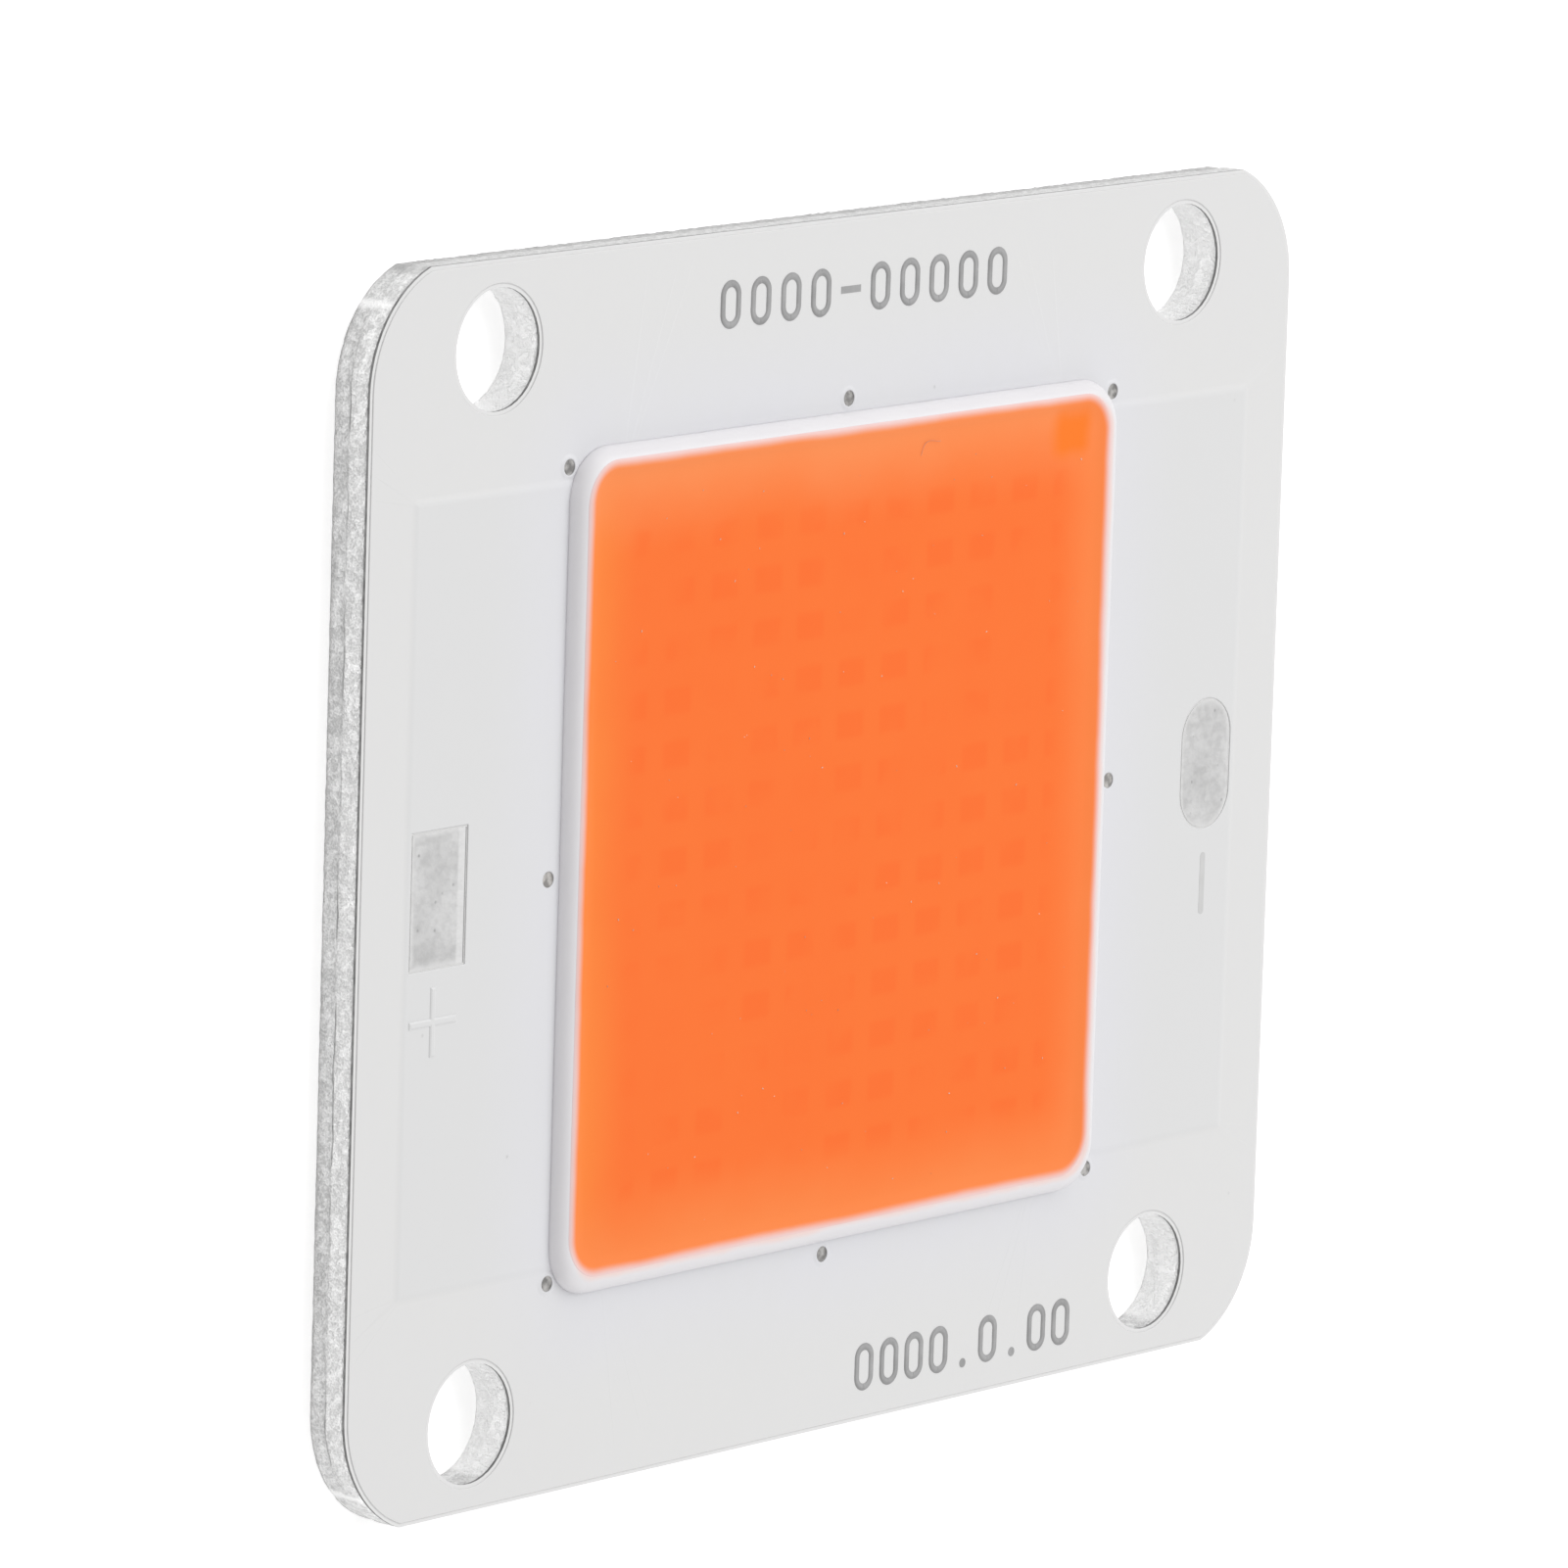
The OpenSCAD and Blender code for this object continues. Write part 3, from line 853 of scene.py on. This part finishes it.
def makeMask(settings):
    gap, grow, edge = settings["padGap"], settings["slumpWidth"], board["maskEdge"]
    plusX, plusLength, plusWidth = planShape("positive_pad_tin", gap)
    minusX, minusLength, minusWidth = planShape("negative_pad_tin", gap)
    minusCorner = minusLength - settings["roundPadFlat"]
    buses = [planShape("positive_bus"), planShape("negative_bus")]
    cornerX, cornerY = settings["cornerMark"]
    side = settings["sideMark"]
    freeMarks = [(sx * cornerX, sy * cornerY) for sx in (-1, 1) for sy in (-1, 1)] + [(0, -side), (0, side)]
    marks = freeMarks + [(-side, 0), (side, 0)]

    def cuts(x, y):
        # Signed distances to the coat's own edge: above zero where the mask lies.
        yield -boardDistance(x, y) - edge
        for hole in holes:
            yield math.dist((x, y), hole) - board["holeRadius"] - edge
        for mark in marks:
            yield math.dist((x, y), mark) - settings["markRadius"]
        yield roundedDistance(x, y, *settings["window"])
        yield roundedDistance(x - plusX, y, plusLength, plusWidth, settings["padCorner"])
        yield roundedDistance(x - minusX, y, minusLength, minusWidth, minusCorner)

    def height(x, y):
        lift = 0.0
        for middle, halfLength, halfWidth in buses:
            reach = -roundedDistance(x - middle, y, halfLength, halfWidth, settings["busCorner"])
            lift = max(lift, smoothShare(reach / settings["stepHalf"] / 2 + 0.5))
        for mark in freeMarks:
            reach = settings["markCopper"] - math.dist((x, y), mark)
            lift = max(lift, smoothShare(reach / grow / 4 + 0.75))
        slump = 1 - smoothShare(min(cuts(x, y)) / grow)
        return sheetHeight + lift * (faceHeight - sheetHeight) - slump * settings["slump"]

    loops = [boardLoop(edge + extra, settings["edgeStep"]) for extra in (0, grow)]
    for hole in holes:
        radius = board["holeRadius"] + edge
        loops += [circleLoop(hole, radius + extra, settings["holeCount"]) for extra in (0, grow)]
    for mark in marks:
        for extra in (0, grow, 3 * grow, 5 * grow):
            loops.append(circleLoop(mark, settings["markRadius"] + extra, settings["markCount"]))
    loops.append(roundedLoop((0, 0), *settings["window"], settings["windowStep"]))
    for k in (0, 1):
        extra, corner = k * grow, settings["padCorner"] + k * settings["padCornerGrowth"]
        loops.append(roundedLoop(
            (plusX, 0), plusLength + extra, plusWidth + extra, corner, settings["padStep"], 4))
        loops.append(roundedLoop(
            (minusX, 0), minusLength + extra, minusWidth + extra, minusCorner + extra, settings["padStep"], 20))
    for middle, halfLength, halfWidth in buses:
        for extra in settings["stepWidths"]:
            corner = settings["busLoopCorner"] + extra
            loops.append(roundedLoop(
                (middle, 0), halfLength + extra, halfWidth + extra, corner, settings["busStep"], 6))

    triangles, places, _ = fillBetween(loops, lambda x, y: min(cuts(x, y)) > 0)
    used = sorted({corner for corners in triangles for corner in corners})
    numbers = {corner: number for number, corner in enumerate(used)}
    vertices = [(*places[corner], height(*places[corner])) for corner in used]
    faces = [[numbers[corner] for corner in corners] for corners in triangles]
    sheet = meshPiece("maskCoatSeed", vertices, faces)
    if sheet.data.polygons[0].normal.z < 0:
        sheet.data.flip_normals()
    for face in sheet.data.polygons:
        face.use_smooth = face.normal.z < 0.99999  # the flat parts stay flat
    sheet.data.materials.append(maskWhite)
    body = sheet.modifiers.new("thickness", "SOLIDIFY")
    body.thickness = settings["thickness"]
    body.offset = -1
    coat = linkObject("maskCoat", evaluatedMesh(sheet))
    bpy.data.objects.remove(sheet)
    return coat


mask = makeMask(maskCoat)
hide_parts("solder_mask")
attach(mask, "root")
print("mask coat:", len(mask.data.polygons), "faces")


# The dam, a silicone bead laid round the fill.

bead = {
    "Length": 26.0 * mm, "Width": 26.15 * mm, "Corner": 1.1 * mm, "Bead Width": 1.17 * mm,
    "Bead Height": damHigh.z - sheetHeight - 0.008 * mm, "Base": sheetHeight,
    "Wobble": 0.02 * mm, "Wobble Scale": 300.0, "Step": 0.16 * mm, "Corner Count": 14, "Arc Count": 22,
}


def beadTree():
    tree, given, sink = newGrowth("siliconeBead", bead)
    outline = grown(tree, "CurvePrimitiveQuadrilateral", {"Width": given["Length"], "Height": given["Width"]})
    fillet = {"Curve": outline, "Count": given["Corner Count"], "Radius": given["Corner"]}
    rounded = grown(tree, "FilletCurve", fillet, mode="POLY")
    route = grown(tree, "ResampleCurve", {"Curve": rounded, "Length": given["Step"]}, mode="LENGTH")

    inputs = {"Vector": grown(tree, "InputPosition"), "Scale": given["Wobble Scale"], "Detail": 2.0}
    cloud = take(tree, "ShaderNodeTexNoise", inputs, output="Color")
    inputs = {0: cloud, 1: (0.5, 0.5, 0.5)}
    centred = take(tree, "ShaderNodeVectorMath", inputs, operation="SUBTRACT")
    inputs = {0: centred, 1: combine(tree, given["Wobble"], given["Wobble"])}
    drift = take(tree, "ShaderNodeVectorMath", inputs, operation="MULTIPLY")
    wandering = grown(tree, "SetPosition", {"Geometry": route, "Offset": drift})
    upright = grown(tree, "SetCurveNormal", {"Curve": wandering}, mode="Z_UP")

    # The section is the arc through both feet and the crest.
    half, high = given["Bead Width"] * 0.5, given["Bead Height"]
    radius = (half * half + high * high) / (high * 2.0)
    drop = radius - high
    lean = calc("ARCSINE", drop / radius)
    section = grown(tree, "CurveArc", {
        "Resolution": given["Arc Count"], "Radius": radius, "Start Angle": lean + math.pi,
        "Sweep Angle": math.pi - lean * 2.0, "Connect Center": True}, mode="RADIUS")
    profile = grown(tree, "Transform", {"Geometry": section, "Translation": combine(tree, y=drop)})
    swept = grown(tree, "CurveToMesh", {"Curve": upright, "Profile Curve": profile})
    raised = grown(tree, "Transform", {"Geometry": swept, "Translation": combine(tree, z=given["Base"])})
    return endGrowth(tree, given, sink, grown(tree, "SetShadeSmooth", {"Geometry": raised}))


dam = growPiece("siliconeDam", beadTree(), dict(bead, Material=damWhite))
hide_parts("dam")
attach(dam, "root")
print("dam:", len(dam.data.polygons), "faces")


# The fill, poured inside the dam and drawn up against it.

pour = {
    "rimLift": 0.0055 * mm, "flat": fillLow.z + 0.625 * mm, "climb": 0.8 * mm, "ripple": 0.010 * mm,
    "rippleScale": 0.35, "crest": damHigh.z - 0.0012 * mm, "edgeDrop": 0.02 * mm, "clingTo": 0.1 * mm,
    "insets": [share * mm for share in (0, 0.03, 0.07, 0.12, 0.18, 0.26, 0.36, 0.48, 0.62, 0.78, 0.95)],
    "innerRings": 52, "innerInset": 1 * mm, "sideStep": 0.42 * mm, "cornerCount": 12,
    "sideInset": 0.1 * mm, "sideSteps": 7, "sink": 0.02 * mm,
}


def beadSurface(x, y):
    # The dam's surface at a place in plan.
    fromCrest = roundedDistance(x, y, bead["Length"] / 2, bead["Width"] / 2, bead["Corner"])
    half, high = bead["Bead Width"] / 2, bead["Bead Height"]
    radius = (half * half + high * high) / (2 * high)
    return bead["Base"] + high - radius + math.sqrt(max(0.0, radius * radius - fromCrest * fromCrest))


def makePour(settings):
    middle, (halfLength, halfWidth), corner = pourRim["middle"], pourRim["half"], pourRim["corner"]
    edge = roundedLoop(middle, halfLength, halfWidth, corner, settings["sideStep"], settings["cornerCount"])
    count, flat, crest = len(edge), settings["flat"], settings["crest"]

    def movedIn(x, y, inset):
        middleX = min(middle[0] + halfLength - corner, max(middle[0] + corner - halfLength, x))
        middleY = min(middle[1] + halfWidth - corner, max(middle[1] + corner - halfWidth, y))
        share = inset / math.hypot(x - middleX, y - middleY)
        return x - (x - middleX) * share, y - (y - middleY) * share

    def surface(x, y, inset):
        away = smoothShare(inset / settings["climb"])
        place = Vector((x, y, 9 * mm)) / mm * settings["rippleScale"]
        height = flat + (crest - flat) * (1 - away) + settings["ripple"] * noise.noise(place) * away
        return min(crest, max(height, beadSurface(x, y) + settings["rimLift"]))

    vertices = []
    for inset in settings["insets"]:
        for point in edge:
            x, y = movedIn(*point, inset)
            height = surface(x, y, inset)
            if inset < settings["clingTo"]:
                height = min(height, beadSurface(x, y) + settings["rimLift"])
            if inset == 0:
                height -= settings["edgeDrop"]
            vertices.append((x, y, height))
    border = vertices[-count:]
    for ring in range(1, settings["innerRings"]):
        share = 1 - ring / settings["innerRings"]
        inner = [(x * share, y * share) for x, y, _ in border]
        vertices += [(x, y, surface(x, y, settings["innerInset"])) for x, y in inner]
    faces = ringFaces(0, count, len(vertices) // count)
    last, centre = len(vertices) - count, len(vertices)
    vertices.append((0, 0, flat))
    faces += [(last + i, last + (i + 1) % count, centre) for i in range(count)]

    # The side goes down the dam's inner face, and the underside closes the piece.
    above, steps = 0, settings["sideSteps"]
    for step in range(1, steps + 2):
        first = len(vertices)
        for point in edge:
            x, y = movedIn(*point, settings["sideInset"] * min(step, steps))
            vertices.append((x, y, beadSurface(x, y) - settings["sink"] if step <= steps else maskLow.z))
        for i in range(count):
            after = (i + 1) % count
            faces.append((above + after, above + i, first + i, first + after))
        above = first
    faces.append([above + i for i in range(count)])
    piece = meshPiece("phosphorPour", vertices, faces)
    piece.data.materials.append(orangeFill)
    for face in piece.data.polygons:
        face.use_smooth = len(face.vertices) < 5
    facesOut(piece)
    return piece


fill = makePour(pour)
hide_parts("phosphor_fill")
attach(fill, "root")
print("fill:", len(fill.data.polygons), "faces")


# The printed zeros, which stand for a type number and a date.

upperLine = {
    "Cells": 10, "Pitch": 1.488 * mm, "First X": -6.00 * mm, "Line Y": 17.65 * mm,
    "Dash Cell": 4, "Dot Cell": -1, "Second Dot Cell": -1, "Width": 0.76 * mm, "Height": 1.34 * mm,
    "Stroke": 0.23 * mm, "Base": sheetHeight - 0.002 * mm, "Thickness": 0.010 * mm,
    "Dash Share": 1.3, "Dot Share": 0.68, "Corner Share": 0.499, "Corner Count": 10, "Dot Count": 20,
}
lowerLine = dict(upperLine, **{
    "Cells": 9, "Pitch": 1.279 * mm, "First X": 2.37 * mm, "Line Y": -18.22 * mm,
    "Dash Cell": -1, "Dot Cell": 4, "Second Dot Cell": 6, "Width": 0.72 * mm, "Height": 1.36 * mm,
})


def digitTree():
    tree, given, sink = newGrowth("printedDigits", upperLine)
    stroke, thickness, width = given["Stroke"], given["Thickness"], given["Width"]
    outline = grown(tree, "CurvePrimitiveQuadrilateral", {"Width": width, "Height": given["Height"]})
    fillet = {"Curve": outline, "Count": given["Corner Count"], "Radius": width * given["Corner Share"]}
    rounded = grown(tree, "FilletCurve", fillet, mode="POLY")
    upright = grown(tree, "SetCurveNormal", {"Curve": rounded}, mode="Z_UP")
    section = grown(tree, "CurvePrimitiveQuadrilateral", {"Width": stroke, "Height": thickness})
    zero = grown(tree, "CurveToMesh", {"Curve": upright, "Profile Curve": section})
    dash = grown(tree, "MeshCube", {"Size": combine(tree, width * given["Dash Share"], stroke, thickness)})
    radius = stroke * given["Dot Share"]
    disc = {"Vertices": given["Dot Count"], "Radius": radius, "Depth": thickness}
    drop = combine(tree, y=radius - (given["Height"] + stroke) * 0.5)
    dot = grown(tree, "Transform", {"Geometry": grown(tree, "MeshCylinder", disc), "Translation": drop})

    start = combine(tree, given["First X"], given["Line Y"], given["Base"] + thickness * 0.5)
    line = {"Count": given["Cells"], "Start Location": start, "Offset": combine(tree, given["Pitch"])}
    cells = grown(tree, "MeshLine", line, mode="OFFSET")
    index = grown(tree, "InputIndex")

    def isCell(label):
        inputs = {2: index, 3: given[label]}
        return take(tree, "FunctionNodeCompare", inputs, data_type="INT", operation="EQUAL")

    def either(first, second, operation):
        return take(tree, "FunctionNodeBooleanMath", {0: first, 1: second}, operation=operation)

    dashed = isCell("Dash Cell")
    dotted = either(isCell("Dot Cell"), isCell("Second Dot Cell"), "OR")
    joined = tree.nodes.new("GeometryNodeJoinGeometry")
    for chosen, glyph in ((either(dashed, dotted, "NOR"), zero), (dashed, dash), (dotted, dot)):
        placed = grown(tree, "InstanceOnPoints", {"Points": cells, "Selection": chosen, "Instance": glyph})
        setInput(joined.inputs[0], placed)
    return endGrowth(tree, given, sink, Field(joined.outputs[0]))


digits = digitTree()
for name, line in (("upperZeros", upperLine), ("lowerZeros", lowerLine)):
    text = growPiece(name, digits, dict(line, Material=legendInk))
    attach(text, "root")
    print(name + ":", len(text.data.polygons), "faces")


# The two signs beside the pads: a raised plus in the mask's white and a grey minus, whose grey is painted shade
# standing for a shallow dip in the mask.

signs = {
    "plusCentre": (-19.44 * mm, -3.90 * mm), "plusReach": 1.12 * mm, "plusHalf": 0.13 * mm,
    "plusHeight": 0.042 * mm, "plusLean": 0.02 * mm, "plusBevel": 0.07 * mm,
    "minusCentre": (19.35 * mm, -4.10 * mm), "minusHalf": (0.13 * mm, 1.06 * mm),
    "minusCorner": 0.1274 * mm, "minusHeight": 0.006 * mm, "minusStep": 0.4 * mm, "sink": 0.004 * mm,
}


def stackedRings(name, rings, material):
    # Rings of equal count, from the lowest to the highest, closed below and above.
    count, last = len(rings[0]), (len(rings) - 1) * len(rings[0])
    caps = [list(range(count)), list(range(last, last + count))]
    vertices = [point for ring in rings for point in ring]
    piece = meshPiece(name, vertices, caps + ringFaces(0, count, len(rings)))
    piece.data.materials.append(material)
    facesOut(piece)
    return piece


def plusRing(settings, shrink, height):
    x, y = settings["plusCentre"]
    far, near = settings["plusReach"] - shrink, settings["plusHalf"] - shrink
    corners = [(far, near), (near, near), (near, far), (-near, far), (-near, near), (-far, near),
               (-far, -near), (-near, -near), (-near, -far), (near, -far), (near, -near), (far, -near)]
    return [(x + dx, y + dy, faceHeight + height) for dx, dy in corners]


def minusRing(settings, height):
    corner, step = settings["minusCorner"], settings["minusStep"]
    loop = roundedLoop(settings["minusCentre"], *settings["minusHalf"], corner, step, 8)
    return [(x, y, faceHeight + height) for x, y in loop]


plusRings = [
    plusRing(signs, 0.0, -signs["sink"]), plusRing(signs, signs["plusLean"], signs["plusHeight"] / 2),
    plusRing(signs, signs["plusBevel"], signs["plusHeight"])]
minusRings = [minusRing(signs, -signs["sink"]), minusRing(signs, signs["minusHeight"])]
for name, rings, skin in (("plusSign", plusRings, maskWhite), ("minusSign", minusRings, minusShadeGrey)):
    sign = stackedRings(name, rings, skin)
    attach(sign, "root")
print("signs are on")


# Dust on the fill, with one fine fibre near the top.

dust = {
    "Reach X": 24.4 * mm, "Reach Y": 24.6 * mm, "Height": pour["flat"] + 0.004 * mm, "Density": 0.16e6,
    "Smallest": 0.010 * mm, "Largest": 0.030 * mm, "Seed": 11,
}
speckShape, fullTurn = (1.5, 0.8, 0.6), (0, 0, 6.28)


def dustTree():
    tree, given, sink = newGrowth("dustSpecks", dust)
    seed = given["Seed"]
    grid = {"Size X": given["Reach X"], "Size Y": given["Reach Y"], "Vertices X": 2, "Vertices Y": 2}
    lifted = {"Geometry": grown(tree, "MeshGrid", grid), "Translation": combine(tree, z=given["Height"])}
    sheet = {"Mesh": grown(tree, "Transform", lifted), "Density": given["Density"], "Seed": seed}
    points = grown(tree, "DistributePointsOnFaces", sheet)
    speck = grown(tree, "MeshIcoSphere", {"Radius": 1.0, "Subdivisions": 2})
    span = {2: given["Smallest"], 3: given["Largest"], "Seed": seed}
    size = take(tree, "FunctionNodeRandomValue", span, output=1, data_type="FLOAT")
    turn = {0: (0, 0, 0), 1: fullTurn, "Seed": seed}
    turn = take(tree, "FunctionNodeRandomValue", turn, data_type="FLOAT_VECTOR")
    scale = take(tree, "ShaderNodeVectorMath", {0: speckShape, "Scale": size}, operation="SCALE")
    placed = {"Points": points, "Instance": speck, "Rotation": turn, "Scale": scale}
    return endGrowth(tree, given, sink, grown(tree, "InstanceOnPoints", placed))


dustSpecks = growPiece("dustSpecks", dustTree(), dict(dust, Material=dustSkin))
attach(dustSpecks, "root")
print("dust:", len(dustSpecks.data.polygons), "faces")

fibre = {
    "start": (3.15 * mm, 12.0 * mm), "end": (4.05 * mm, 12.55 * mm), "height": pour["flat"] + 0.03 * mm,
    "bend": 0.22 * mm, "bendTurn": math.pi * 1.3, "radius": 0.008 * mm, "count": 18, "sides": 8,
}


def makeFibre(settings):
    height, radius, sides = settings["height"], settings["radius"], settings["sides"]
    first, last = Vector((*settings["start"], height)), Vector((*settings["end"], height))
    along = (last - first).normalized()
    side, up = Vector((-along.y, along.x, 0)), Vector((0, 0, 1))
    rings = []
    for step in range(settings["count"]):
        share = step / (settings["count"] - 1)
        middle = first.lerp(last, share) + side * settings["bend"] * math.sin(share * settings["bendTurn"])
        turns = [2 * math.pi * k / sides for k in range(sides)]
        rings.append([middle + (side * math.cos(turn) + up * math.sin(turn)) * radius for turn in turns])
    return stackedRings("fibre", rings, dustSkin)


fibrePiece = makeFibre(fibre)
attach(fibrePiece, "root")
print("fibre is on")
